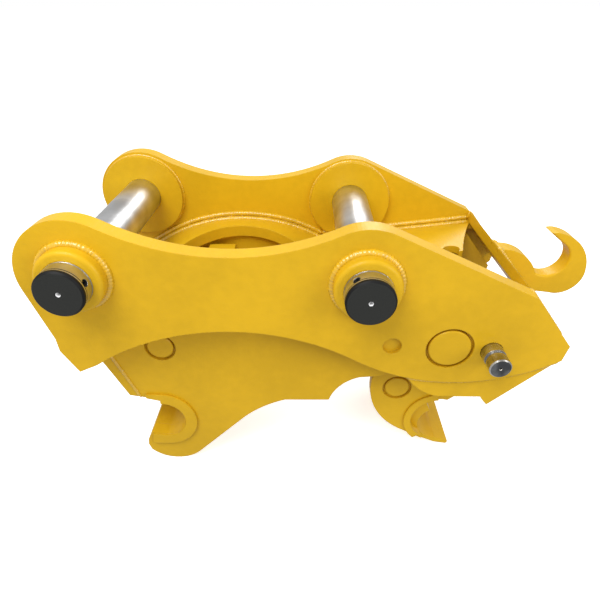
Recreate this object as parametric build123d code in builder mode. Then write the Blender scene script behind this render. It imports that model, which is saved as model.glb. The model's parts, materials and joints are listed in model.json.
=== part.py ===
# Hydraulic quick coupler for a 20 t class excavator, millimetres.
# X runs from the front pin to the lifting hook, Y runs across the machine, Z is up.
# The origin is on the floor under the middle of the whole coupler.
from build123d import *
from math import atan2, cos, degrees, hypot, sin
import os

os.makedirs("parts", exist_ok=True)

# Driving dimensions. Profile points are (distance behind the front pin, height above the floor).
front_pin_x = -425.2  # front main pin, along X from the origin
front_pin_at = (0.0, 488.0)
rear_pin_at = (475.0, 476.0)
hook_pivot_at = (630.0, 347.0)
base_pin_at = (98.0, 306.0)
rod_pin_at = (567.0, 184.0)
safety_pin_at = (704.0, 342.0)
front_jaw_at = (79.0, 119.0)
hook_seat_at = (673.0, 64.0)
hook_ring_at = (662.0, 96.0)

main_pin_radius = 40.0
main_pin_half = 274.0  # half length over both end faces
pin_relief_at = 241.0  # centre plane to the narrow relief groove outside each boss
pin_relief_width = 2.0
pivot_pin_radius = 37.5
cylinder_pin_radius = 25.0
safety_pin_radius = 19.0
front_jaw_radius = 46.0
hook_seat_radius = 45.0
hook_ring_radius = 57.0
running_fit = 0.05  # radial clearance of a pin in its bore

ear_inside = 180.0  # centre plane to the inner face of the upper side plates
ear_plate = 34.0
ear_outside = ear_inside + ear_plate
jaw_plate_inside = 136.0  # centre plane to the inner face of the lower side plates
jaw_plate = 28.0
jaw_plate_outside = jaw_plate_inside + jaw_plate
hook_cheek_inside = 116.0
hook_cheek = 18.0
hook_cheek_outside = hook_cheek_inside + hook_cheek
arch_outer = 375.0
arch_plate = 25.0
rear_deck_plate = 16.0
open_pivot_clearance = 4.0  # room round the rod pin where the linkage is opened


def side_plane(y):
    # Local x runs backward from the front pin, local y is the height, the normal points to -Y.
    return Plane(origin=(front_pin_x, y, 0), x_dir=(1, 0, 0), z_dir=(0, -1, 0))


def around(centre, radius, angle):
    a = angle / 57.29577951308232
    return (centre[0] + radius * cos(a), centre[1] + radius * sin(a))


def save(part, name):
    part.label = name
    export_step(part, "parts/" + name + ".step")


def save_pair(near_part, name):
    save(near_part, name + "_near")
    save(mirror(near_part, about=Plane.XZ), name + "_far")


def save_both_sides(near_part, name):
    # One node that holds the near piece and its mirror image as separate solids.
    far_part = mirror(near_part, about=Plane.XZ)
    save(Compound(children=[*near_part.solids(), *far_part.solids()]), name)


def bore(centre, radius, y_start, depth):
    # A straight hole from y_start toward -Y, cut from the open part.
    with BuildSketch(side_plane(y_start)) as hole:
        with Locations(centre):
            Circle(radius)
    extrude(hole.sketch, amount=depth, mode=Mode.SUBTRACT)


# Valley between the two lobes: a circle that touches both.
lobe_front = 97.0
lobe_rear = 96.0
valley_radius = 440.0
span = hypot(rear_pin_at[0] - front_pin_at[0], rear_pin_at[1] - front_pin_at[1])
reach_front = valley_radius + lobe_front
reach_rear = valley_radius + lobe_rear
along = (reach_front**2 - reach_rear**2 + span**2) / (2 * span)
rise = (reach_front**2 - along**2) ** 0.5
tilt = atan2(rear_pin_at[1] - front_pin_at[1], rear_pin_at[0] - front_pin_at[0])
valley_at = (
    front_pin_at[0] + along * cos(tilt) - rise * sin(tilt),
    front_pin_at[1] + along * sin(tilt) + rise * cos(tilt),
)
front_touch_angle = degrees(atan2(valley_at[1] - front_pin_at[1], valley_at[0] - front_pin_at[0]))
rear_touch_angle = degrees(atan2(valley_at[1] - rear_pin_at[1], valley_at[0] - rear_pin_at[0]))

# Upper side plates: two lobes, a valley, a slope to the rear corner and an arched lower edge.
with BuildPart() as side_plate:
    with BuildSketch(side_plane(-ear_inside)) as side_outline:
        with BuildLine():
            front_start = around(front_pin_at, lobe_front, 196)
            front_end = around(front_pin_at, lobe_front, front_touch_angle)
            rear_start = around(rear_pin_at, lobe_rear, rear_touch_angle)
            rear_end = around(rear_pin_at, lobe_rear, 65.4)
            ThreePointArc(front_start, around(front_pin_at, lobe_front, 120), front_end)
            valley_low = (valley_at[0], valley_at[1] - valley_radius)
            ThreePointArc(front_end, valley_low, rear_start)
            ThreePointArc(rear_start, around(rear_pin_at, lobe_rear, 90), rear_end)
            Polyline(rear_end, (759, 451), (838, 354), (832, 322.3))
            ThreePointArc((832, 322.3), (645, 270), (459, 322))
            ThreePointArc((459, 322), (244, 379.6), (-4, 303))
            Polyline((-4, 303), (-39, 287), (-64, 335), (-65, 362), front_start)
        make_face()
        corners = side_outline.vertices().sort_by(Axis.X)
        fillet(corners[-3], radius=14)
    extrude(amount=ear_plate)
    bore(front_pin_at, main_pin_radius + running_fit, -ear_inside, ear_plate)
    bore(rear_pin_at, main_pin_radius + running_fit, -ear_inside, ear_plate)
    bore(hook_pivot_at, pivot_pin_radius + running_fit, -ear_inside, ear_plate)
    bore(hook_pivot_at, pivot_pin_radius + 5, -ear_outside + 9, 9)
    bore(safety_pin_at, safety_pin_radius + 0.5, -ear_inside, ear_plate)
    bore((528, 352), 16.5, -ear_outside + 7, 7)
save_pair(side_plate.part, "side_plate")

# Cheek plates that carry the line of the side plates down behind the moving hook.
with BuildPart() as rear_cheek:
    with BuildSketch(side_plane(-ear_inside)):
        with BuildLine():
            ThreePointArc((563, 278.2), (645, 269.2), (831.2, 321))
            Polyline((831.2, 321), (722, 212), (714, 221), (706, 232), (622, 232))
            ThreePointArc((622, 232), (590, 248), (563, 278.2))
        make_face()
    extrude(amount=30)
save_pair(rear_cheek.part, "rear_cheek")

# Lower side plates: fixed front jaw, belly and the cut-out that clears the moving hook.
with BuildPart() as lower_plate:
    with BuildSketch(side_plane(-jaw_plate_inside)):
        with BuildLine():
            jaw_top = around(front_jaw_at, front_jaw_radius, 90)
            jaw_low = around(front_jaw_at, front_jaw_radius, 270)
            jaw_deep = around(front_jaw_at, front_jaw_radius, 0)
            Polyline((-9.5, 315.5), (41.5, 180), (78, 170.5), jaw_top)
            ThreePointArc(jaw_top, jaw_deep, jaw_low)
            Polyline(jaw_low, (46, 78), (35, 56), (33, 41), (38, 24.5))
            ThreePointArc((38, 24.5), (93, 0), (148, 24.5))
            Line((148, 24.5), (250, 127))
            ThreePointArc((250, 127), (286, 154), (335, 176))
            Line((335, 176), (424, 177))
            ThreePointArc((424, 177), (445, 214), (482, 237))
            Polyline((482, 237), (523, 241), (563, 258), (806, 300), (812, 332))
            Polyline((812, 332), (758, 399), (750, 409), (411.5, 368), (411.5, 357))
            ThreePointArc((411.5, 357), (228, 408.7), (-9.5, 315.5))
        make_face()
    extrude(amount=jaw_plate)
    bore(hook_pivot_at, pivot_pin_radius + running_fit, -jaw_plate_inside, jaw_plate)
    bore(safety_pin_at, safety_pin_radius + 0.5, -jaw_plate_inside, jaw_plate)
    bore(base_pin_at, cylinder_pin_radius + running_fit, -jaw_plate_inside, jaw_plate)
    bore(base_pin_at, cylinder_pin_radius + 5, -jaw_plate_outside + 7, 7)
save_pair(lower_plate.part, "lower_plate")

# Arched deck between the upper side plates, with its large window.
with BuildPart() as arch_deck:
    with BuildSketch(side_plane(ear_inside)):
        with BuildLine():
            ThreePointArc((-34, 327.3), (228, 434), (411, 386.3))
            Line((411, 386.3), (411, 357.4))
            ThreePointArc((411, 357.4), (228, 409), (-34, 291))
            Line((-34, 291), (-34, 327.3))
        make_face()
    extrude(amount=2 * ear_inside)
    with BuildSketch(Plane.XY.offset(250)):
        with Locations((front_pin_x + 236, 0)):
            Ellipse(155, 126)
    extrude(amount=250, mode=Mode.SUBTRACT)
    chamfer(arch_deck.edges().filter_by(Axis.Y).group_by(Axis.Z)[0], length=2)
save(arch_deck.part, "arch_deck")

# Rear deck, sloping up to the rear cross plate, with the opening for the hook and hoses.
with BuildPart() as rear_deck:
    with BuildSketch(side_plane(ear_inside)):
        with BuildLine():
            Polyline((412, 386.5), (756.8, 428.2), (768.6, 413.6), (412, 370.3), (412, 386.5))
        make_face()
    extrude(amount=2 * ear_inside)
    with BuildSketch(Plane(origin=(front_pin_x, 0, 300), x_dir=(1, 0, 0), z_dir=(0, 0, 1))):
        with BuildLine():
            Line((706, 28), (706, -28))
            ThreePointArc((706, -28), (724, -85), (756, -165))
            Polyline((756, -165), (790, -165), (790, 165), (756, 165))
            ThreePointArc((756, 165), (724, 85), (706, 28))
        make_face()
        with Locations((686, 0)):
            Rectangle(42, 56)
        with Locations((685, 40), (685, -40)):
            Circle(17)
    extrude(amount=200, mode=Mode.SUBTRACT)
save(rear_deck.part, "rear_deck")

# Rear cross plate behind the deck; its upper edge is cut upright.
with BuildPart() as rear_cross_plate:
    with BuildSketch(side_plane(ear_inside)):
        with BuildLine():
            Polyline((757, 428), (759, 451), (838, 354), (825.5, 343.8), (757, 428))
        make_face()
    extrude(amount=2 * ear_inside)
save(rear_cross_plate.part, "rear_cross_plate")

# Lifting hook, one thick plate welded to the middle of the rear cross plate.
with BuildPart() as lifting_hook:
    with BuildSketch(side_plane(18)):
        with BuildLine():
            Line((762, 447.4), (780, 446))
            ThreePointArc((780, 446), (818, 431), (845, 396))
            ThreePointArc((845, 396), (906, 426), (890, 457))
            Polyline((890, 457), (872, 470), (857, 482), (868, 483))
            ThreePointArc((868, 483), (926, 452), (946, 404))
            ThreePointArc((946, 404), (931, 360), (884, 349))
            Polyline((884, 349), (838.6, 354.1), (762, 447.4))
        make_face()
    extrude(amount=36)
    rims = lifting_hook.faces().filter_by(Axis.Y).edges().filter_by(GeomType.CIRCLE)
    fillet(rims.filter_by(lambda rim: rim.radius < 45), radius=4)
save(lifting_hook.part, "lifting_hook")

# Nose plate that closes the front of the lower body.
with BuildPart() as nose_plate:
    with BuildSketch(side_plane(jaw_plate_outside)):
        with BuildLine():
            Polyline((18, 184), (-28, 290), (-28, 297), (-10.5, 314), (40.5, 180), (18, 184))
        make_face()
    extrude(amount=2 * jaw_plate_outside)
save(nose_plate.part, "nose_plate")

# Seat plate of the fixed front jaw, between the lower side plates.
with BuildPart() as front_saddle:
    with BuildSketch(side_plane(jaw_plate_inside)):
        with BuildLine():
            Polyline((46, 178.5), (78, 170.5), jaw_top)
            ThreePointArc(jaw_top, jaw_deep, jaw_low)
            Polyline(jaw_low, (46, 78), (35, 56), (40, 48), (79, 51))
            ThreePointArc((79, 51), (147, 119), (79, 187))
            Polyline((79, 187), (46, 187), (46, 178.5))
        make_face()
    extrude(amount=2 * jaw_plate_inside)
save(front_saddle.part, "front_saddle")

# Raised wear pads round the front jaw, on the outer faces of the lower side plates.
with BuildPart() as front_jaw_pad:
    with BuildSketch(side_plane(-jaw_plate_outside)) as pad_outline:
        with BuildLine():
            Polyline((52, 180), (79, 173.5), jaw_top)
            ThreePointArc(jaw_top, jaw_deep, jaw_low)
            Polyline(jaw_low, (50, 77.5), (46, 49), (79, 49))
            ThreePointArc((79, 49), (149, 119), (79, 189))
            Polyline((79, 189), (52, 189), (52, 180))
        make_face()
    extrude(amount=5)
save_both_sides(front_jaw_pad.part, "front_jaw_pads")

# Bosses outside the side plates and round pads inside them, at both main pins.
with BuildPart() as outer_boss:
    for pin_at in (front_pin_at, rear_pin_at):
        with BuildSketch(side_plane(-ear_outside)) as boss_ring:
            with Locations(pin_at):
                Circle(56)
                Circle(main_pin_radius + running_fit, mode=Mode.SUBTRACT)
        extrude(boss_ring.sketch, amount=26)
    boss_rims = outer_boss.edges().filter_by(GeomType.CIRCLE).group_by(Axis.Y)[0]
    fillet(boss_rims.filter_by(lambda rim: rim.radius > 50), radius=7)
save_both_sides(outer_boss.part, "outer_bosses")

with BuildPart() as inner_pad:
    for pin_at in (front_pin_at, rear_pin_at):
        with BuildSketch(side_plane(-ear_inside + 12)) as pad_ring:
            with Locations(pin_at):
                Circle(90)
                Circle(main_pin_radius + running_fit, mode=Mode.SUBTRACT)
            with Locations((rear_pin_at[0], 403 - 40)):
                Rectangle(200, 80, mode=Mode.SUBTRACT)
        extrude(pad_ring.sketch, amount=12)
save_both_sides(inner_pad.part, "inner_pads")


def make_main_pin(pin_at, hole_angle):
    # Ground pin with chamfered ends, centre drillings, and a relief and a cross hole near each end.
    across = Plane(
        origin=(front_pin_x + pin_at[0], 0, pin_at[1]),
        x_dir=(0, 1, 0),
        z_dir=(cos(hole_angle / 57.2958), 0, sin(hole_angle / 57.2958)),
    )
    with BuildPart() as main_pin:
        with BuildSketch(side_plane(main_pin_half)) as section:
            with Locations(pin_at):
                Circle(main_pin_radius)
        extrude(section.sketch, amount=2 * main_pin_half)
        chamfer(main_pin.edges().filter_by(GeomType.CIRCLE), length=3)
        with Locations(main_pin.faces().sort_by(Axis.Y)[0], main_pin.faces().sort_by(Axis.Y)[-1]):
            CounterSinkHole(radius=2.5, counter_sink_radius=5, depth=9)
        with BuildSketch(across) as cross_holes:
            with Locations((-257, 0), (257, 0)):
                Circle(6.5)
        extrude(cross_holes.sketch, amount=main_pin_radius + 1, both=True, mode=Mode.SUBTRACT)
        for relief_start in (pin_relief_at + pin_relief_width, -pin_relief_at):
            with BuildSketch(side_plane(relief_start)) as relief:
                with Locations(pin_at):
                    Circle(main_pin_radius + 1)
                    Circle(main_pin_radius - 1, mode=Mode.SUBTRACT)
            extrude(relief.sketch, amount=pin_relief_width, mode=Mode.SUBTRACT)
    return main_pin.part


save(make_main_pin(front_pin_at, 18), "front_main_pin")
save(make_main_pin(rear_pin_at, 125), "rear_main_pin")


def make_plain_pin(pin_at, radius, half_length, edge):
    with BuildPart() as plain_pin:
        with BuildSketch(side_plane(half_length)) as section:
            with Locations(pin_at):
                Circle(radius)
        extrude(section.sketch, amount=2 * half_length)
        chamfer(plain_pin.edges().filter_by(GeomType.CIRCLE), length=edge)
    return plain_pin.part


save(make_plain_pin(hook_pivot_at, pivot_pin_radius, ear_outside - 0.5, 1.5), "hook_pivot_pin")
save(make_plain_pin(base_pin_at, cylinder_pin_radius, jaw_plate_outside - 0.5, 1.5), "cylinder_base_pin")
save(make_plain_pin(rod_pin_at, cylinder_pin_radius, hook_cheek_outside - 0.5, 1.5), "rod_pin")

# Safety pin across the body behind the hook pivot, with a clip groove near its outer end.
with BuildPart() as safety_pin:
    with BuildSketch(side_plane(ear_outside + 8)) as section:
        with Locations(safety_pin_at):
            Circle(safety_pin_radius)
    extrude(section.sketch, amount=2 * ear_outside + 8 + 48)
    chamfer(safety_pin.edges().filter_by(GeomType.CIRCLE), length=2)
    with BuildSketch(side_plane(-ear_outside - 20)) as groove:
        with Locations(safety_pin_at):
            Circle(safety_pin_radius + 1)
            Circle(safety_pin_radius - 3, mode=Mode.SUBTRACT)
    extrude(groove.sketch, amount=7, mode=Mode.SUBTRACT)
    with Locations(safety_pin.faces().sort_by(Axis.Y)[0]):
        CounterSinkHole(radius=1.5, counter_sink_radius=3, depth=5)
save(safety_pin.part, "safety_pin")

# Moving hook: two cheeks, a seat block, a pivot tube with bushes and a back plate.
hook_boss = 45.0
ring_top = around(hook_ring_at, hook_ring_radius, 75)
ring_deep = around(hook_ring_at, hook_ring_radius, 180)
ring_low = around(hook_ring_at, hook_ring_radius, 240)
with BuildPart() as hook_cheek_plate:
    with BuildSketch(side_plane(-hook_cheek_inside)):
        with BuildLine():
            boss_left = around(hook_pivot_at, hook_boss, 170)
            boss_right = around(hook_pivot_at, hook_boss, -35)
            ThreePointArc(boss_right, around(hook_pivot_at, hook_boss, 80), boss_left)
            Line(boss_left, (513, 208))
            ThreePointArc((513, 208), (512, 175), (530, 117))
            ThreePointArc((530, 117), (558, 83), (593, 60))
            Polyline((593, 60), (631, 38.5), (637, 36), ring_low)
            ThreePointArc(ring_low, ring_deep, ring_top)
            Polyline(ring_top, (694, 166), (706, 210), (702, 302), boss_right)
        make_face()
    extrude(amount=hook_cheek)
    bore(hook_pivot_at, hook_boss - 4, -hook_cheek_inside, hook_cheek)
    bore(rod_pin_at, cylinder_pin_radius, -hook_cheek_inside, hook_cheek)
    bore(rod_pin_at, cylinder_pin_radius + 5, -hook_cheek_outside + 6, 6)
save_pair(hook_cheek_plate.part, "hook_cheek")

with BuildPart() as hook_jaw_pad:
    with BuildSketch(side_plane(-hook_cheek_outside)):
        with BuildLine():
            pad_top = around(hook_ring_at, 72, 95)
            pad_deep = around(hook_ring_at, 72, 165)
            pad_low = around(hook_ring_at, 72, 229)
            ring_upper = around(hook_ring_at, hook_ring_radius, 95)
            ring_lower = around(hook_ring_at, hook_ring_radius, 234)
            ThreePointArc(ring_upper, ring_deep, ring_lower)
            Line(ring_lower, pad_low)
            ThreePointArc(pad_low, pad_deep, pad_top)
            Line(pad_top, ring_upper)
        make_face()
    extrude(amount=4)
save_both_sides(hook_jaw_pad.part, "hook_jaw_pads")

seat_top = around(hook_seat_at, hook_seat_radius, 120)
seat_deep = around(hook_seat_at, hook_seat_radius, 190)
seat_low = around(hook_seat_at, hook_seat_radius, 270)
with BuildPart() as hook_saddle:
    with BuildSketch(side_plane(hook_cheek_inside)):
        with BuildLine():
            ThreePointArc(seat_top, seat_deep, seat_low)
            Polyline(seat_low, (704, 6), (701, 0), (673, 5), (636, 21), (610, 46))
            ThreePointArc((610, 46), (599, 90), (636, 133))
            Line((636, 133), seat_top)
        make_face()
    extrude(amount=2 * hook_cheek_inside)
save(hook_saddle.part, "hook_saddle")

with BuildPart() as hook_pivot_tube:
    with BuildSketch(side_plane(hook_cheek_inside)):
        with Locations(hook_pivot_at):
            Circle(hook_boss)
            Circle(hook_boss - 4, mode=Mode.SUBTRACT)
    extrude(amount=2 * hook_cheek_inside)
save(hook_pivot_tube.part, "hook_pivot_tube")

with BuildPart() as pivot_bush:
    with BuildSketch(side_plane(-hook_cheek_outside + 64)):
        with Locations(hook_pivot_at):
            Circle(hook_boss - 4)
            Circle(pivot_pin_radius + running_fit, mode=Mode.SUBTRACT)
    extrude(amount=64)
save_both_sides(pivot_bush.part, "hook_pivot_bushes")

with BuildPart() as hook_back_plate:
    with BuildSketch(side_plane(hook_cheek_inside)):
        with BuildLine():
            Polyline((690, 172), (704, 212), (700, 300), (684, 300), (688, 214), (676, 176), (690, 172))
        make_face()
    extrude(amount=2 * hook_cheek_inside)
save(hook_back_plate.part, "hook_back_plate")

# Hydraulic cylinder, drawn lying along X from the base pin and then turned into place.
cylinder_length = hypot(rod_pin_at[0] - base_pin_at[0], rod_pin_at[1] - base_pin_at[1])
cylinder_slope = degrees(atan2(base_pin_at[1] - rod_pin_at[1], rod_pin_at[0] - base_pin_at[0]))
cylinder_place = Location((front_pin_x + base_pin_at[0], 0, base_pin_at[1]), (0, cylinder_slope, 0))
barrel_outer = 50.0
barrel_bore = 40.0
rod_radius = 25.0
eye_half_width = 30.0
barrel_start = 46.0
barrel_end = 340.0


def turned_ring(start, end, outer, inner):
    # A ring or disc along the cylinder axis, between two distances from the base pin.
    with BuildPart() as ring:
        with BuildSketch(Plane.YZ.offset(start)):
            Circle(outer)
            if inner > 0:
                Circle(inner, mode=Mode.SUBTRACT)
        extrude(amount=end - start)
    return ring.part


def eye(at, outer, inner, neck_start, neck_end, neck_half):
    # Round eye with a square neck toward the barrel or the rod.
    with BuildPart() as eye_body:
        with BuildSketch(Plane.XZ.offset(-eye_half_width)):
            with Locations((at, 0)):
                Circle(outer)
            with Locations(((neck_start + neck_end) / 2, 0)):
                Rectangle(neck_end - neck_start, 2 * neck_half)
            with Locations((at, 0)):
                Circle(inner, mode=Mode.SUBTRACT)
        extrude(amount=2 * eye_half_width)
    return eye_body.part


def bush(at, outer, inner):
    with BuildPart() as bush_ring:
        with BuildSketch(Plane.XZ.offset(-eye_half_width)):
            with Locations((at, 0)):
                Circle(outer)
                Circle(inner, mode=Mode.SUBTRACT)
        extrude(amount=2 * eye_half_width)
    return bush_ring.part


base_bush_outer = cylinder_pin_radius + 5
save(cylinder_place * eye(0, 42, base_bush_outer, 0, barrel_start, 36), "base_eye")
save(cylinder_place * bush(0, base_bush_outer, cylinder_pin_radius + running_fit), "base_eye_bush")
save(cylinder_place * turned_ring(barrel_start, barrel_start + 16, barrel_outer, 0), "barrel_end_cap")

# Barrel tube with two port bosses on top.
with BuildPart() as barrel_tube:
    with BuildSketch(Plane.YZ.offset(barrel_start + 16)):
        Circle(barrel_outer)
        Circle(barrel_bore, mode=Mode.SUBTRACT)
    extrude(amount=barrel_end - barrel_start - 16)
    with BuildSketch(Plane.XY):
        with Locations((85, 0), (295, 0)):
            Circle(16)
    extrude(amount=barrel_outer + 12)
    with BuildSketch(Plane.XY):
        with Locations((85, 0), (295, 0)):
            Circle(6)
    extrude(amount=barrel_outer + 12, mode=Mode.SUBTRACT)
    with BuildSketch(Plane.YZ.offset(barrel_start + 16)) as clean_bore:
        Circle(barrel_bore)
    extrude(clean_bore.sketch, amount=barrel_end - barrel_start - 16, mode=Mode.SUBTRACT)
save(cylinder_place * barrel_tube.part, "cylinder_barrel")

# Gland screwed into the barrel, with the wiper in its mouth.
with BuildPart() as gland:
    with BuildSketch(Plane.XZ):
        with BuildLine():
            Polyline((316, rod_radius + 0.3), (316, barrel_bore), (barrel_end, barrel_bore))
            Polyline((barrel_end, barrel_bore), (barrel_end, 47), (356, 47), (356, 33), (350, 33))
            Polyline((350, 33), (350, rod_radius + 0.3), (316, rod_radius + 0.3))
        make_face()
    revolve(axis=Axis.X)
save(cylinder_place * gland.part, "cylinder_gland")
save(cylinder_place * turned_ring(350, 357, 33, rod_radius + 0.05), "rod_wiper")

# Piston with its seal, fixed on the end of the rod.
piston_front = 300.0
with BuildPart() as piston:
    with BuildSketch(Plane.YZ.offset(piston_front - 40)):
        Circle(barrel_bore - 0.4)
        Circle(14, mode=Mode.SUBTRACT)
    extrude(amount=40)
    with BuildSketch(Plane.YZ.offset(piston_front - 27)) as seal_groove:
        Circle(barrel_bore)
        Circle(barrel_bore - 6, mode=Mode.SUBTRACT)
    extrude(seal_groove.sketch, amount=12, mode=Mode.SUBTRACT)
save(cylinder_place * piston.part, "piston")
save(cylinder_place * turned_ring(piston_front - 27, piston_front - 15, barrel_bore - 0.05, 34), "piston_seal")

with BuildPart() as cylinder_rod:
    with BuildSketch(Plane.YZ.offset(piston_front)):
        Circle(rod_radius)
    extrude(amount=cylinder_length - 46 - piston_front)
    with BuildSketch(Plane.YZ.offset(piston_front - 40)):
        Circle(14)
    extrude(amount=40)
save(cylinder_place * cylinder_rod.part, "cylinder_rod")

rod_bush_inner = cylinder_pin_radius + 0.5 + open_pivot_clearance
save(cylinder_place * eye(cylinder_length, 42, 34, cylinder_length - 46, cylinder_length, 28), "rod_eye")
save(cylinder_place * bush(cylinder_length, 34, rod_bush_inner), "rod_eye_bush")

# Check valve block on its bracket, inside the far lower side plate, with two threaded ports.
port_radius = 6.58  # G1/4 thread
with BuildPart() as valve_block:
    with Locations((front_pin_x + 184, 100, 368)):
        Box(60, 44, 52)
    fillet(valve_block.edges().filter_by(Axis.X).group_by(Axis.Z)[-1], radius=10)
    chamfer(valve_block.faces().sort_by(Axis.X)[0].edges(), length=1.5)
    front_face = Plane(origin=(front_pin_x + 154, 100, 366), x_dir=(0, 1, 0), z_dir=(-1, 0, 0))
    with Locations(front_face):
        with Locations((-11, 0), (11, 0)):
            CounterBoreHole(radius=3.5, counter_bore_radius=port_radius, counter_bore_depth=14, depth=30)
save(valve_block.part, "valve_block")

with BuildPart() as valve_bracket:
    with Locations((front_pin_x + 184, 129, 362)):
        Box(46, 14, 36)
save(valve_bracket.part, "valve_bracket")
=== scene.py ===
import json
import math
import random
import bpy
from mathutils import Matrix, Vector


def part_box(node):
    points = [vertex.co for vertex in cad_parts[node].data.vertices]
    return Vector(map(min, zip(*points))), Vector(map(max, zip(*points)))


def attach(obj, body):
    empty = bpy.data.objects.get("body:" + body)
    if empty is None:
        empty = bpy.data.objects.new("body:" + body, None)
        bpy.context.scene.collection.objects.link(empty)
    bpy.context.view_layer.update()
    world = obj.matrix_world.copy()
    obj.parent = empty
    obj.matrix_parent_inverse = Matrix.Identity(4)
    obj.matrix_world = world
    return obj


bl_info = {
    "name": "Quick coupler finish",
    "version": (1, 0, 0),
    "blender": (4, 5, 0),
    "location": "View3D > Sidebar > Coupler",
    "description": "Paints the packed quick coupler, lays its weld beads and sets up the stage",
    "category": "Object",
}

import bmesh
import bpy
from mathutils import Matrix, Vector

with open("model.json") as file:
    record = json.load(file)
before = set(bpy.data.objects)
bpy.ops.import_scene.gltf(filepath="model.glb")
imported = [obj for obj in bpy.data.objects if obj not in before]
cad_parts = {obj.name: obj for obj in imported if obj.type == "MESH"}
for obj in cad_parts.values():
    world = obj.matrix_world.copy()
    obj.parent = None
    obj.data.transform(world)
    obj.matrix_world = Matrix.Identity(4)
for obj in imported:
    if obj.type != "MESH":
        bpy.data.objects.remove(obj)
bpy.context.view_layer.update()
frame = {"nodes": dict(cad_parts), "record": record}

SIDES = (-1, 1)  # near side, far side
ACROSS, UP = Vector((0, 1, 0)), Vector((0, 0, 1))

# Sizes in metres that a user would not change.
PIN_EDGE = 0.001  # how far the shading rounds the edges of turned pieces
# The centre drilling is bare steel with a painted highlight: near white and hardly metallic.
DRILLING_HIGHLIGHT = (0.0036, 0.0042)  # radii between which the bright centre drilling fades out
PIN_RIM = (0.0082, 0.0074)  # distances from the pin's end where the black rim starts and is full
PIN_SCORE = 0.0112  # distance from the pin's end to the dark scored line
SAWN_END = (0.026, 0.025)  # distances outside the side plate where the safety pin's sawn face starts
CAP_BEADS = (0.046, 0.062)  # distances from the base pin to the beads of the end cap
TUBE_RADIUS = 0.050
NECK_FROM_ROD_PIN = 0.046
NECK_RADIUS = 0.025
BEAD_SINK = 0.001  # how far a bead's middle lies inside or past the surface that it sits on
FLOOR_SIZE = 400


# Places read from the frame.


def centre(node):
    low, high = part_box(node)
    return (low + high) / 2


def corner(node, direction):
    """The point of a node that lies farthest in a direction."""
    aim = Vector(direction)
    points = [vertex.co for vertex in frame["nodes"][node].data.vertices]
    return max(points, key=lambda point: point.dot(aim)).copy()


def at_y(point, y):
    return Vector((point.x, y, point.z))


def circle_through(first, middle, last):
    """Centre and radius of the circle through three points, seen along Y."""
    ax, az, bx, bz, cx, cz = first.x, first.z, middle.x, middle.z, last.x, last.z
    spread = 2 * (ax * (bz - cz) + bx * (cz - az) + cx * (az - bz))
    a, b, c = ax * ax + az * az, bx * bx + bz * bz, cx * cx + cz * cz
    x = (a * (bz - cz) + b * (cz - az) + c * (az - bz)) / spread
    z = (a * (cx - bx) + b * (ax - cx) + c * (bx - ax)) / spread
    return Vector((x, 0, z)), math.hypot(ax - x, az - z)


def angle_of(point, middle):
    return math.atan2(point.z - middle.z, point.x - middle.x)


front_pin = centre("front_main_pin")
rear_pin = centre("rear_main_pin")
pivot = centre("hook_pivot_pin")
base_pin = centre("cylinder_base_pin")
rod_pin = centre("rod_pin")
for place in (front_pin, rear_pin, pivot, base_pin, rod_pin):
    place.y = 0
pin_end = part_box("front_main_pin")[1].y
ear_outside = -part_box("side_plate_near")[0].y
ear_inside = -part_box("side_plate_near")[1].y
jaw_outside = -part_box("lower_plate_near")[0].y
jaw_inside = -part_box("lower_plate_near")[1].y
boss_radius = front_pin.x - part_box("outer_bosses")[0].x
pad_radius = front_pin.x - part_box("inner_pads")[0].x


# Settings that a user would change.


class CouplerPaint(bpy.types.PropertyGroup):
    colour: bpy.props.FloatVectorProperty(
        name="Enamel",
        description="Colour of the enamel on every welded plate",
        subtype="COLOR",
        size=3,
        min=0,
        max=1,
        default=(0.66, 0.392, 0.0105),
    )
    # Painted shade: the enamel is blended toward this colour in corners and seams, where less light reaches.
    recess_shade: bpy.props.FloatVectorProperty(
        name="Recess",
        description="Colour of the enamel where it runs into corners and seams",
        subtype="COLOR",
        size=3,
        min=0,
        max=1,
        default=(0.40, 0.14, 0.002),
    )
    roughness: bpy.props.FloatProperty(
        name="Roughness", description="Roughness of the enamel", min=0, max=1, default=0.36
    )
    edge_round: bpy.props.FloatProperty(
        name="Edge rounding",
        description="How far paint and grinding round the plate edges",
        unit="LENGTH",
        min=0,
        default=0.0025,
    )
    peel: bpy.props.FloatProperty(
        name="Orange peel",
        description="Height of the orange peel in the enamel",
        unit="LENGTH",
        min=0,
        default=0.00035,
    )


class CouplerWelds(bpy.types.PropertyGroup):
    boss_bead: bpy.props.FloatProperty(
        name="Boss bead", description="Radius of the beads round the bosses", unit="LENGTH", default=0.007
    )
    deck_bead: bpy.props.FloatProperty(
        name="Deck bead", description="Radius of one pass along the decks", unit="LENGTH", default=0.0065
    )
    seam_bead: bpy.props.FloatProperty(
        name="Seam bead", description="Radius of the beads on small seams", unit="LENGTH", default=0.0035
    )
    ripple_pitch: bpy.props.FloatProperty(
        name="Ripple pitch",
        description="Distance between two ripples of a bead",
        unit="LENGTH",
        default=0.006,
    )
    ripple_height: bpy.props.FloatProperty(
        name="Ripple height",
        description="Height of the ripples, as a share of the bead's radius",
        subtype="FACTOR",
        min=0,
        max=0.5,
        default=0.055,
    )


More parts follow.
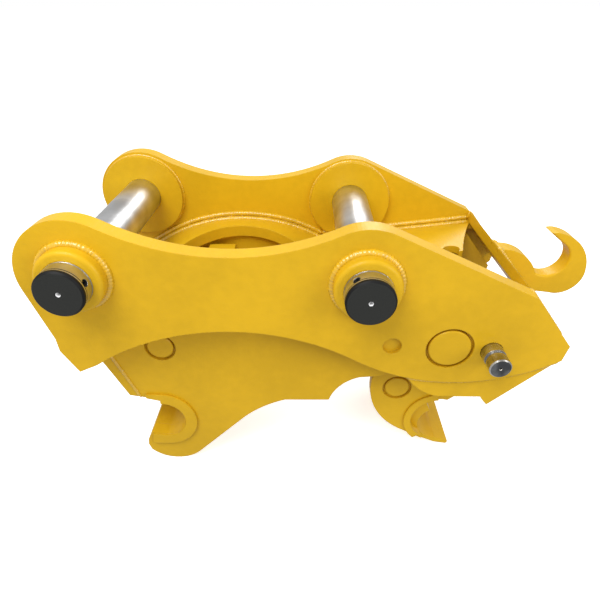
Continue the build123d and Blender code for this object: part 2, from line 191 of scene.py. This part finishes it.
class CouplerStage(bpy.types.PropertyGroup):
    camera_place: bpy.props.FloatVectorProperty(
        name="Camera place",
        description="Where the camera stands",
        subtype="TRANSLATION",
        unit="LENGTH",
        size=3,
        default=(-0.0498, -0.8866, 0.861),
    )
    camera_turn: bpy.props.FloatVectorProperty(
        name="Camera turn",
        description="How the camera is turned",
        subtype="EULER",
        unit="ROTATION",
        size=3,
        default=(math.radians(58.34), 0, math.radians(0.8)),
    )
    lens: bpy.props.FloatProperty(
        name="Lens", description="Focal length on a 36 mm sensor", subtype="DISTANCE_CAMERA", default=28.62
    )
    floor_colour: bpy.props.FloatVectorProperty(
        name="Floor",
        description="Colour of the floor",
        subtype="COLOR",
        size=3,
        min=0,
        max=1,
        default=(0.88, 0.88, 0.875),
    )
    floor_glow: bpy.props.FloatProperty(
        name="Floor glow", description="Light that the white floor gives off itself", min=0, default=0.62
    )
    sky: bpy.props.FloatProperty(
        name="Sky", description="Strength of the light from the white room", min=0, default=0.66
    )
    key: bpy.props.FloatProperty(
        name="Key light", description="Power of the large light above", subtype="POWER", min=0, default=61
    )


# Shader maths.


class Value:
    """A socket that takes part in plain arithmetic."""

    def __init__(self, shader, socket):
        self.shader = shader
        self.socket = socket

    def _maths(self, operation, left, right):
        node = self.shader.node("ShaderNodeMath", {"operation": operation}, {0: left, 1: right})
        return Value(self.shader, node.outputs[0])

    def __add__(self, other):
        return self._maths("ADD", self, other)

    def __radd__(self, other):
        return self._maths("ADD", other, self)

    def __sub__(self, other):
        return self._maths("SUBTRACT", self, other)

    def __rsub__(self, other):
        return self._maths("SUBTRACT", other, self)

    def __mul__(self, other):
        return self._maths("MULTIPLY", self, other)

    def __rmul__(self, other):
        return self._maths("MULTIPLY", other, self)

    def __abs__(self):
        return self._maths("ABSOLUTE", self, 0)

    def __gt__(self, other):
        return self._maths("GREATER_THAN", self, other)

    def step(self, low, high):
        """0 below low, 1 above high and smooth between them."""
        inputs = {"Value": self, "From Min": low, "From Max": high}
        node = self.shader.node("ShaderNodeMapRange", {"interpolation_type": "SMOOTHSTEP"}, inputs)
        return Value(self.shader, node.outputs["Result"])


class Shader:
    """A material and the few calls that build its nodes."""

    def __init__(self, name):
        self.material = bpy.data.materials.new(name)
        self.material.use_nodes = True
        self.tree = self.material.node_tree
        self.tree.nodes.clear()

    def node(self, kind, settings=None, inputs=None):
        node = self.tree.nodes.new(kind)
        for key, value in (settings or {}).items():
            setattr(node, key, value)
        for key, value in (inputs or {}).items():
            if isinstance(value, Value):
                self.tree.links.new(value.socket, node.inputs[key])
            else:
                node.inputs[key].default_value = value
        return node

    def value(self, kind, output, settings=None, inputs=None):
        return Value(self, self.node(kind, settings, inputs).outputs[output])

    def place(self):
        return self.value("ShaderNodeTexCoord", "Object")

    def axes(self, vector):
        """The three parts of a vector."""
        parts = self.node("ShaderNodeSeparateXYZ", None, {0: vector})
        return [Value(self, parts.outputs[i]) for i in range(3)]

    def stretched(self, vector, scale):
        return self.value("ShaderNodeMapping", 0, None, {"Vector": vector, "Scale": scale})

    def noise(self, vector, scale, detail=2.0, roughness=0.5):
        inputs = {"Vector": vector, "Scale": scale, "Detail": detail, "Roughness": roughness}
        return self.value("ShaderNodeTexNoise", "Fac", None, inputs)

    def mix(self, factor, first, second):
        """Blends two colours; 0, 6 and 7 are the factor and colour sockets of the Mix node."""
        node = self.node("ShaderNodeMix", {"data_type": "RGBA"}, {0: factor, 6: first, 7: second})
        return Value(self, node.outputs[2])

    def bump(self, height, distance, normal=None):
        inputs = {"Height": height, "Distance": distance, "Strength": 1.0}
        if normal:
            inputs["Normal"] = normal
        return self.value("ShaderNodeBump", "Normal", None, inputs)

    def surface(self, **inputs):
        """Closes the material with one principled surface."""
        named = {key.replace("_", " "): value for key, value in inputs.items()}
        surface = self.value("ShaderNodeBsdfPrincipled", "BSDF", None, named)
        self.node("ShaderNodeOutputMaterial", None, {"Surface": surface})
        return self.material


def solid(colour):
    return (colour[0], colour[1], colour[2], 1.0)


def enamel(name, cut_edges=1.0, peel_size=150.0):
    """Gloss enamel: a little uneven in tone, orange peel, cutting lines on plate edges, painted shade in
    corners.
    """
    paint = bpy.context.scene.coupler_paint
    shader = Shader(name)
    place = shader.place()
    broad = shader.noise(place, 4.5, 3.0)
    fine = shader.noise(place, 55.0, 3.0)
    lighter = solid([min(1.0, part * 1.06) for part in paint.colour])
    deeper = solid([part * 0.90 for part in paint.colour])
    tone = shader.mix((broad * 0.75 + fine * 0.25).step(0.32, 0.68), deeper, lighter)
    # Painted shade: ambient occlusion finds corners and seams, and there the enamel is darkened toward the
    # recess shade colour.
    openness = shader.value(
        "ShaderNodeAmbientOcclusion", "AO", {"samples": 6, "only_local": False}, {"Distance": 0.012}
    )
    corners = 1 - openness.step(0.15, 0.70)
    colour = shader.mix(corners * 0.26, tone, solid(paint.recess_shade))
    peel = shader.noise(place, peel_size, 1.5, 0.4)
    across = abs(shader.axes(shader.value("ShaderNodeNewGeometry", "Normal"))[1])
    lines = shader.noise(shader.stretched(place, (1.0, 0.06, 1.0)), 330.0, 2.0)
    cutting = (1 - across.step(0.25, 0.6)) * lines * cut_edges
    rounded = shader.value("ShaderNodeBevel", 0, {"samples": 4}, {"Radius": paint.edge_round})
    normal = shader.bump(peel + cutting * 1.4, paint.peel, rounded)
    return shader.surface(
        Base_Color=colour,
        Roughness=paint.roughness + 0.10 * (fine - 0.5) + 0.08 * cutting,
        Specular_IOR_Level=0.15,
        Coat_Weight=0.08,
        Coat_Roughness=0.12,
        Normal=normal,
    )


def weld_enamel(name):
    """The same enamel over rough bead metal, with spatter."""
    paint = bpy.context.scene.coupler_paint
    shader = Shader(name)
    place = shader.place()
    patches = shader.noise(place, 60.0, 4.0, 0.6)
    lighter = solid([min(1.0, part * 1.08) for part in paint.colour])
    colour = shader.mix(patches.step(0.35, 0.65), solid([part * 0.92 for part in paint.colour]), lighter)
    lumps = shader.noise(place, 320.0, 3.0, 0.55)
    return shader.surface(
        Base_Color=colour,
        Roughness=0.22 + 0.10 * patches,
        Specular_IOR_Level=0.6,
        Coat_Weight=0.7,
        Coat_Roughness=0.08,
        Normal=shader.bump(lumps + patches * 0.6, 0.0006),
    )


def main_pin_steel(name):
    """Ground shaft with dark end faces, black rims and centre drillings of bare steel with a painted
    highlight.
    """
    shader = Shader(name)
    place = shader.place()
    reach = abs(shader.axes(place)[1])
    grinding = shader.noise(shader.stretched(place, (0.02, 1.0, 0.02)), 900.0, 3.0)
    smudges = shader.noise(place, 18.0, 4.0)
    ground = shader.mix(smudges.step(0.3, 0.7), (0.47, 0.47, 0.47, 1), (0.66, 0.67, 0.68, 1))
    rim = (reach + 0.001 * (smudges - 0.5)).step(pin_end - PIN_RIM[0], pin_end - PIN_RIM[1])
    score = 1 - abs(reach - (pin_end - PIN_SCORE)).step(0.0006, 0.0012)
    blackened = rim + score * (1 - rim)
    colour = shader.mix(blackened, ground, (0.006, 0.006, 0.006, 1))
    facing = abs(shader.axes(shader.value("ShaderNodeNewGeometry", "Normal"))[1])
    end_face = facing.step(0.80, 0.95) * (reach > pin_end - 0.012)
    turning = shader.noise(shader.stretched(place, (1.0, 0.0, 1.0)), 700.0, 3.0)
    face_dark, face_light = (0.017, 0.018, 0.016, 1), (0.028, 0.029, 0.027, 1)
    face_colour = shader.mix(turning.step(0.3, 0.7), face_dark, face_light)
    colour = shader.mix(end_face, colour, face_colour)
    flat = shader.stretched(place, (1.0, 0.0, 1.0))
    # Painted highlight: the bare steel in each centre drilling is painted near white and hardly metallic, so
    # it shines like a glint.
    for pin in (front_pin, rear_pin):
        off_axis = shader.value("ShaderNodeVectorMath", "Value", {"operation": "DISTANCE"}, {0: flat, 1: pin})
        drilling_highlight = 1 - off_axis.step(*DRILLING_HIGHLIGHT)
        colour = shader.mix(drilling_highlight, colour, (0.80, 0.80, 0.80, 1))
    metal = 1 - 0.9 * end_face - 0.8 * blackened * (1 - end_face)
    rough = 0.24 + 0.08 * smudges + 0.20 * end_face
    rough = rough + 0.2 * blackened * (1 - end_face) + 0.08 * grinding
    rounded = shader.value("ShaderNodeBevel", 0, {"samples": 4}, {"Radius": PIN_EDGE})
    return shader.surface(
        Base_Color=colour,
        Metallic=metal.step(0.0, 1.0),
        Roughness=rough,
        Specular_IOR_Level=0.2,
        Normal=shader.bump(grinding * (1 - end_face) + turning * end_face * 0.4, 0.00008, rounded),
    )


def bright_bar(name, light, dark, roughness=0.24):
    """Drawn or turned steel with rings of tool marks along Y and a few smudges."""
    shader = Shader(name)
    place = shader.place()
    marks = shader.noise(shader.stretched(place, (0.03, 1.0, 0.03)), 1100.0, 3.0)
    smudges = shader.noise(place, 30.0, 4.0)
    colour = shader.mix((smudges * 0.7 + marks * 0.3).step(0.3, 0.7), dark, light)
    rounded = shader.value("ShaderNodeBevel", 0, {"samples": 4}, {"Radius": PIN_EDGE})
    return shader.surface(
        Base_Color=colour,
        Metallic=1.0,
        Roughness=roughness + 0.12 * (marks - 0.5) + 0.1 * (smudges - 0.5),
        Normal=shader.bump(marks, 0.00012, rounded),
    )


def safety_pin_steel(name):
    """Bright drawn bar with dark, roughly sawn end faces."""
    shader = Shader(name)
    place = shader.place()
    marks = shader.noise(shader.stretched(place, (0.03, 1.0, 0.03)), 1100.0, 3.0)
    smudges = shader.noise(place, 45.0, 4.0)
    facing = abs(shader.axes(shader.value("ShaderNodeNewGeometry", "Normal"))[1]).step(0.75, 0.9)
    outer = 1 - shader.axes(place)[1].step(-ear_outside - SAWN_END[0], -ear_outside - SAWN_END[1])
    sawn = facing * (1 - (1 - outer) * 0.5)
    patches = (smudges * 0.7 + marks * 0.3).step(0.3, 0.7)
    bar = shader.mix(patches, (0.30, 0.28, 0.25, 1), (0.58, 0.57, 0.55, 1))
    face = shader.mix(smudges.step(0.35, 0.65), (0.045, 0.047, 0.05, 1), (0.14, 0.145, 0.15, 1))
    rounded = shader.value("ShaderNodeBevel", 0, {"samples": 4}, {"Radius": PIN_EDGE})
    return shader.surface(
        Base_Color=shader.mix(sawn, bar, face),
        Metallic=1 - 0.6 * sawn,
        Roughness=0.22 + 0.1 * smudges + 0.25 * sawn,
        Specular_IOR_Level=0.25,
        Normal=shader.bump(marks * (1 - sawn) + smudges * sawn * 3.0, 0.00012, rounded),
    )


def rubber(name):
    """Matt black seal rubber with fine moulding grain."""
    shader = Shader(name)
    grain = shader.noise(shader.place(), 900.0, 2.0)
    return shader.surface(
        Base_Color=shader.mix(grain.step(0.3, 0.7), (0.015, 0.015, 0.015, 1), (0.03, 0.03, 0.03, 1)),
        Roughness=0.62 + 0.2 * (grain - 0.5),
        Normal=shader.bump(grain, 0.0001),
    )


def pale_floor(name):
    stage = bpy.context.scene.coupler_stage
    shader = Shader(name)
    cloud = shader.noise(shader.place(), 0.8, 3.0)
    darker = solid([part * 0.985 for part in stage.floor_colour])
    return shader.surface(
        Base_Color=shader.mix(cloud.step(0.3, 0.7), darker, solid(stage.floor_colour)),
        Roughness=0.85 + 0.05 * (cloud - 0.5),
        Specular_IOR_Level=0.05,
        Emission_Color=(1, 1, 1, 1),
        Emission_Strength=stage.floor_glow,
    )


# Weld beads: a small ring is extruded step by step along a path, then swells a little at each ripple.

BEAD_SIDES = 8
STEPS_A_RIPPLE = 4
UNEVEN = 0.05  # share of the radius by which each ring may differ
BEAD_START = 0.45  # share of the radius at the ends of an open bead
BEAD_GROWTH = 0.12  # how much of the radius each step from the end adds


class Path:
    """A straight line, or an arc about an axis, that a bead follows."""

    def __init__(self, start, travel, length, middle=None, axis=None, angle=0.0):
        pitch = bpy.context.scene.coupler_welds.ripple_pitch
        self.start = start
        self.travel = travel.normalized()
        self.middle = middle or start
        self.axis = axis or UP
        self.angle = angle
        self.steps = max(STEPS_A_RIPPLE, round(length / pitch * STEPS_A_RIPPLE))
        self.shift = Vector() if angle else self.travel * length / self.steps
        self.closed = abs(abs(angle) - math.tau) < 1e-6

    def station(self, step):
        """The middle of the bead after a number of steps."""
        turn = Matrix.Rotation(self.angle * step / self.steps, 3, self.axis)
        return self.middle + turn @ (self.start - self.middle) + self.shift * step


def line_path(start, end):
    return Path(start, end - start, (end - start).length)


def ring_path(middle, axis, out, angle=math.tau):
    """An arc about any axis, from the end of the vector out."""
    travel = axis.cross(out) * math.copysign(1, angle)
    return Path(middle + out, travel, abs(angle) * out.length, middle, axis, angle)


def arc_path(middle, radius, first, last, y):
    """An arc in a plane square to Y, between two angles in radians measured from X toward Z."""
    out = Vector((math.cos(first), 0, math.sin(first))) * radius
    return ring_path(at_y(middle, y), -ACROSS, out, last - first)


def lay_bead(mesh, path, radius, chance):
    """Adds one bead to the mesh along a path."""
    ripple_height = bpy.context.scene.coupler_welds.ripple_height
    turn = path.travel.to_track_quat("Z", "Y").to_matrix().to_4x4()
    seat = Matrix.Translation(path.start) @ turn
    made = bmesh.ops.create_circle(mesh, cap_ends=False, segments=BEAD_SIDES, radius=radius, matrix=seat)
    rings = [made["verts"]]
    edges = list({edge for vertex in made["verts"] for edge in vertex.link_edges})
    first_edges = edges
    turn_step = Matrix.Rotation(path.angle / path.steps, 3, path.axis)
    for step in range(1, path.steps + (0 if path.closed else 1)):
        made = bmesh.ops.extrude_edge_only(mesh, edges=edges)
        ring = [item for item in made["geom"] if isinstance(item, bmesh.types.BMVert)]
        edges = [item for item in made["geom"] if isinstance(item, bmesh.types.BMEdge)]
        for vertex in ring:
            vertex.co = path.middle + turn_step @ (vertex.co - path.middle) + path.shift
        rings.append(ring)
    if path.closed:
        bmesh.ops.bridge_loops(mesh, edges=edges + first_edges)
    else:
        bmesh.ops.contextual_create(mesh, geom=first_edges)
        bmesh.ops.contextual_create(mesh, geom=edges)
    last = len(rings) - 1
    for step, ring in enumerate(rings):
        swell = 1 + ripple_height * math.cos(math.tau * step / STEPS_A_RIPPLE)
        swell += UNEVEN * chance.uniform(-1, 1)
        if not path.closed:
            swell *= min(1.0, BEAD_START + BEAD_GROWTH * min(step, last - step))
        middle = path.station(step)
        for vertex in ring:
            vertex.co = middle + (vertex.co - middle) * swell


def add_beads(name, paths, radius, body):
    """One piece made of beads on one body."""
    chance = random.Random(name)
    mesh = bmesh.new()
    for path in paths:
        lay_bead(mesh, path, radius, chance)
    bmesh.ops.remove_doubles(mesh, verts=mesh.verts, dist=1e-6)
    bmesh.ops.recalc_face_normals(mesh, faces=mesh.faces)
    data = bpy.data.meshes.new(name)
    mesh.to_mesh(data)
    mesh.free()
    data.shade_smooth()
    piece = bpy.data.objects.new(name, data)
    bpy.context.scene.collection.objects.link(piece)
    data.materials.append(bpy.data.materials["weld_enamel"])
    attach(piece, body)
    return piece


# Operators: one for the finishes, one for each group of beads and one for the stage.


class COUPLER_OT_finishes(bpy.types.Operator):
    """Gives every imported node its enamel, steel, bronze or rubber"""

    bl_idname = "coupler.finishes"
    bl_label = "Finishes"

    def execute(self, context):
        weld_enamel("weld_enamel")
        finishes = {
            "paint": enamel("plate_enamel"),
            "hook_paint": enamel("hook_enamel", 0.6),
            "cylinder_paint": enamel("tube_enamel", 0.0, 110.0),
            "valve_paint": enamel("block_enamel", 0.0, 200.0),
            "lifting_paint": enamel("lifting_hook_enamel", 1.2),
            "pin_steel": main_pin_steel("main_pin_steel"),
            "safety_pin_steel": safety_pin_steel("safety_pin_steel"),
            "bush_bronze": bright_bar("bush_bronze", (0.60, 0.40, 0.17, 1), (0.42, 0.27, 0.10, 1), 0.34),
            "rod_chrome": bright_bar("rod_chrome", (0.80, 0.80, 0.81, 1), (0.70, 0.70, 0.71, 1), 0.08),
            "inner_steel": bright_bar("turned_steel", (0.55, 0.54, 0.52, 1), (0.40, 0.39, 0.37, 1), 0.3),
            "seal_rubber": rubber("seal_rubber"),
        }
        for part in frame["record"]["subparts"]:
            slots = frame["nodes"][part["node"]].material_slots
            if not slots:
                raise RuntimeError(part["node"] + " has no material slot")
            for slot in slots:
                slot.material = finishes[part["material_slot"]]
        return {"FINISHED"}


class COUPLER_OT_boss_welds(bpy.types.Operator):
    """Lays the beads round the outer bosses and the inner pads"""

    bl_idname = "coupler.boss_welds"
    bl_label = "Boss welds"

    def execute(self, context):
        welds = context.scene.coupler_welds
        deck_line = corner("rear_deck", (-1, 0, 0.01)).z - rear_pin.z
        pad_start = math.asin(deck_line / pad_radius) + 0.12
        outer = []
        inner = []
        for side in SIDES:
            for pin in (front_pin, rear_pin):
                outer.append(arc_path(pin, boss_radius + BEAD_SINK, 0, math.tau, side * ear_outside))
            inner.append(arc_path(front_pin, pad_radius, 0, math.tau, side * ear_inside))
            inner.append(arc_path(rear_pin, pad_radius, pad_start, math.pi - pad_start, side * ear_inside))
        add_beads("boss_weld_beads", outer, welds.boss_bead, "frame")
        add_beads("pad_weld_beads", inner, welds.seam_bead, "frame")
        return {"FINISHED"}


class COUPLER_OT_deck_welds(bpy.types.Operator):
    """Lays the passes where the arched deck, rear deck and cross plate meet the side plates"""

    bl_idname = "coupler.deck_welds"
    bl_label = "Deck welds"

    def execute(self, context):
        bead = context.scene.coupler_welds.deck_bead
        start = corner("arch_deck", (-1, 0, 0.01))
        crown = corner("arch_deck", (0, 0, 1))
        end = corner("arch_deck", (1, 0, 0.01))
        middle, radius = circle_through(start, crown, end)
        first, last = angle_of(end, middle), angle_of(start, middle)
        rear_start = corner("rear_deck", (-1, 0, 0.01))
        rear_end = corner("rear_deck", (0.1, 0, 1))
        cross_back = corner("rear_cross_plate", (0.5, 0, 1))
        cross_low = corner("rear_cross_plate", (1, 0, 0))
        arch = []
        rear = []
        cross = []
        for side in SIDES:
            wall = side * ear_inside
            inset = wall - side * bead * 1.3
            arch.append(arc_path(middle, radius, first, last, wall))
            arch.append(arc_path(middle, radius + bead * 1.4, first, last, wall))
            arch.append(arc_path(middle, radius - bead * 0.1, first, last, inset))
            rear.append(line_path(at_y(rear_start, wall), at_y(rear_end, wall)))
            above = UP * bead * 1.4
            rear.append(line_path(at_y(rear_start, wall) + above, at_y(rear_end, wall) + above))
            rear.append(line_path(at_y(rear_start, inset), at_y(rear_end, inset)))
            cross.append(line_path(at_y(rear_end, wall), at_y(cross_back, wall)))
            cross.append(line_path(at_y(cross_back, wall), at_y(cross_low, wall)))
        add_beads("arch_weld_beads", arch, bead, "frame")
        add_beads("rear_deck_weld_beads", rear, bead, "frame")
        add_beads("cross_plate_weld_beads", cross, context.scene.coupler_welds.seam_bead, "frame")
        return {"FINISHED"}


class COUPLER_OT_lifting_hook_welds(bpy.types.Operator):
    """Lays the beads that hold the lifting hook on the cross plate"""

    bl_idname = "coupler.lifting_hook_welds"
    bl_label = "Lifting hook welds"

    def execute(self, context):
        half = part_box("lifting_hook")[1].y
        top = corner("rear_cross_plate", (0.5, 0, 1))
        low = corner("rear_cross_plate", (1, 0, 0))
        paths = [line_path(at_y(top, side * half), at_y(low, side * half)) for side in SIDES]
        paths.append(line_path(at_y(low, -half), at_y(low, half)))
        add_beads("lifting_hook_weld_beads", paths, context.scene.coupler_welds.deck_bead, "frame")
        return {"FINISHED"}


class COUPLER_OT_jaw_welds(bpy.types.Operator):
    """Lays the beads of the nose plate, the front saddle and the rear cheeks"""

    bl_idname = "coupler.jaw_welds"
    bl_label = "Jaw and cheek welds"

    def execute(self, context):
        bead = context.scene.coupler_welds.seam_bead
        nose_top = corner("nose_plate", (0.2, 0, 1))
        nose_low = corner("nose_plate", (1, 0, -1))
        saddle_top = corner("front_saddle", (0.01, 0, 1))
        saddle_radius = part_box("front_saddle")[1].x - saddle_top.x
        jaw = saddle_top - UP * saddle_radius
        cheek_front = corner("rear_cheek_near", (-1, 0, 0))
        cheek_back = corner("rear_cheek_near", (1, 0, 0))
        cheek_face = -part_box("rear_cheek_near")[0].y
        arch, arch_radius = circle_through(cheek_front, corner("side_plate_near", (0, 0, -1)), cheek_back)
        jaws = []
        cheeks = []
        first, last = angle_of(cheek_front, arch), angle_of(cheek_back, arch)
        for side in SIDES:
            jaws.append(line_path(at_y(nose_top, side * jaw_outside), at_y(nose_low, side * jaw_outside)))
            jaws.append(arc_path(jaw, saddle_radius, -math.pi / 2, math.pi / 2, side * jaw_inside))
            cheeks.append(arc_path(arch, arch_radius, first, last, side * cheek_face))
        add_beads("jaw_weld_beads", jaws, bead, "frame")
        add_beads("cheek_weld_beads", cheeks, bead, "frame")
        return {"FINISHED"}


class COUPLER_OT_cylinder_welds(bpy.types.Operator):
    """Lays the beads round the cylinder's end cap and rod eye"""

    bl_idname = "coupler.cylinder_welds"
    bl_label = "Cylinder welds"

    def execute(self, context):
        bead = context.scene.coupler_welds.seam_bead
        axis = (rod_pin - base_pin).normalized()
        neck = (rod_pin - base_pin).length - NECK_FROM_ROD_PIN
        side = axis.orthogonal().normalized()
        barrel = [ring_path(base_pin + axis * at, axis, side * (TUBE_RADIUS - BEAD_SINK)) for at in CAP_BEADS]
        add_beads("barrel_weld_beads", barrel, bead * 0.8, "barrel")
        rod = [ring_path(base_pin + axis * (neck - BEAD_SINK), axis, side * NECK_RADIUS)]
        add_beads("rod_eye_weld_bead", rod, bead * 0.8, "rod")
        return {"FINISHED"}


class COUPLER_OT_hook_welds(bpy.types.Operator):
    """Lays the beads round both ends of the hook's pivot tube"""

    bl_idname = "coupler.hook_welds"
    bl_label = "Hook welds"

    def execute(self, context):
        bead = context.scene.coupler_welds.seam_bead
        low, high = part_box("hook_pivot_tube")
        radius = (high.z - low.z) / 2
        rings = [arc_path(pivot, radius, 0, math.tau, side * high.y) for side in SIDES]
        add_beads("hook_tube_weld_beads", rings, bead, "hook")
        return {"FINISHED"}


class COUPLER_OT_stage(bpy.types.Operator):
    """Sets up the floor, the soft lights and the camera"""

    bl_idname = "coupler.stage"
    bl_label = "Stage"

    def execute(self, context):
        scene = context.scene
        stage = scene.coupler_stage
        mesh = bmesh.new()
        bmesh.ops.create_grid(mesh, x_segments=2, y_segments=2, size=FLOOR_SIZE)
        data = bpy.data.meshes.new("floor")
        mesh.to_mesh(data)
        mesh.free()
        floor = bpy.data.objects.new("floor", data)
        data.materials.append(pale_floor("pale_floor"))
        scene.collection.objects.link(floor)
        floor.visible_diffuse = False
        floor.visible_glossy = False
        world = bpy.data.worlds.new("white_room")
        world.use_nodes = True
        nodes, links = world.node_tree.nodes, world.node_tree.links
        background = nodes["Background"]
        background.inputs["Color"].default_value = (1, 1, 1, 1)
        seen = nodes.new("ShaderNodeLightPath").outputs["Is Camera Ray"]
        strength = nodes.new("ShaderNodeMapRange")
        strength.inputs["To Min"].default_value = stage.sky
        strength.inputs["To Max"].default_value = 1.0
        links.new(seen, strength.inputs["Value"])
        links.new(strength.outputs["Result"], background.inputs["Strength"])
        scene.world = world
        for name, place, size, share in (
            ("key", (-0.9, -1.3, 2.6), 1.6, 1.0),
            ("fill", (1.8, -1.6, 1.2), 1.2, 0.3),
            ("rim", (0.6, 1.9, 1.9), 1.2, 0.45),
        ):
            light = bpy.data.lights.new(name, "AREA")
            light.size = size
            light.energy = stage.key * share
            lamp = bpy.data.objects.new(name, light)
            lamp.location = place
            lamp.rotation_euler = (Vector((0, 0, 0.25)) - Vector(place)).to_track_quat("-Z", "Y").to_euler()
            scene.collection.objects.link(lamp)
        camera = bpy.data.cameras.new("camera")
        camera.sensor_width = 36
        camera.lens = stage.lens
        viewer = bpy.data.objects.new("camera", camera)
        viewer.location = stage.camera_place
        viewer.rotation_euler = stage.camera_turn
        scene.collection.objects.link(viewer)
        scene.camera = viewer
        scene.view_settings.view_transform = "Standard"
        return {"FINISHED"}


class COUPLER_PT_panel(bpy.types.Panel):
    """Lists the coupler's settings and steps"""

    bl_idname = "COUPLER_PT_panel"
    bl_label = "Quick coupler"
    bl_space_type = "VIEW_3D"
    bl_region_type = "UI"
    bl_category = "Coupler"

    def draw(self, context):
        layout = self.layout
        scene = context.scene
        for group in (scene.coupler_paint, scene.coupler_welds, scene.coupler_stage):
            box = layout.box()
            for key in group.__annotations__:
                box.prop(group, key)
        for step in STEPS:
            layout.operator(step.bl_idname)


STEPS = (
    COUPLER_OT_finishes,
    COUPLER_OT_boss_welds,
    COUPLER_OT_deck_welds,
    COUPLER_OT_lifting_hook_welds,
    COUPLER_OT_jaw_welds,
    COUPLER_OT_cylinder_welds,
    COUPLER_OT_hook_welds,
    COUPLER_OT_stage,
)
SETTINGS = {
    "coupler_paint": CouplerPaint,
    "coupler_welds": CouplerWelds,
    "coupler_stage": CouplerStage,
}


def register():
    for name, group in SETTINGS.items():
        bpy.utils.register_class(group)
        setattr(bpy.types.Scene, name, bpy.props.PointerProperty(type=group))
    for step in STEPS:
        bpy.utils.register_class(step)
    bpy.utils.register_class(COUPLER_PT_panel)


def unregister():
    bpy.utils.unregister_class(COUPLER_PT_panel)
    for step in reversed(STEPS):
        bpy.utils.unregister_class(step)
    for name, group in reversed(SETTINGS.items()):
        delattr(bpy.types.Scene, name)
        bpy.utils.unregister_class(group)


def main():
    register()
    bpy.ops.coupler.finishes()
    bpy.ops.coupler.boss_welds()
    bpy.ops.coupler.deck_welds()
    bpy.ops.coupler.lifting_hook_welds()
    bpy.ops.coupler.jaw_welds()
    bpy.ops.coupler.cylinder_welds()
    bpy.ops.coupler.hook_welds()
    bpy.ops.coupler.stage()


if __name__ == "__main__":
    main()
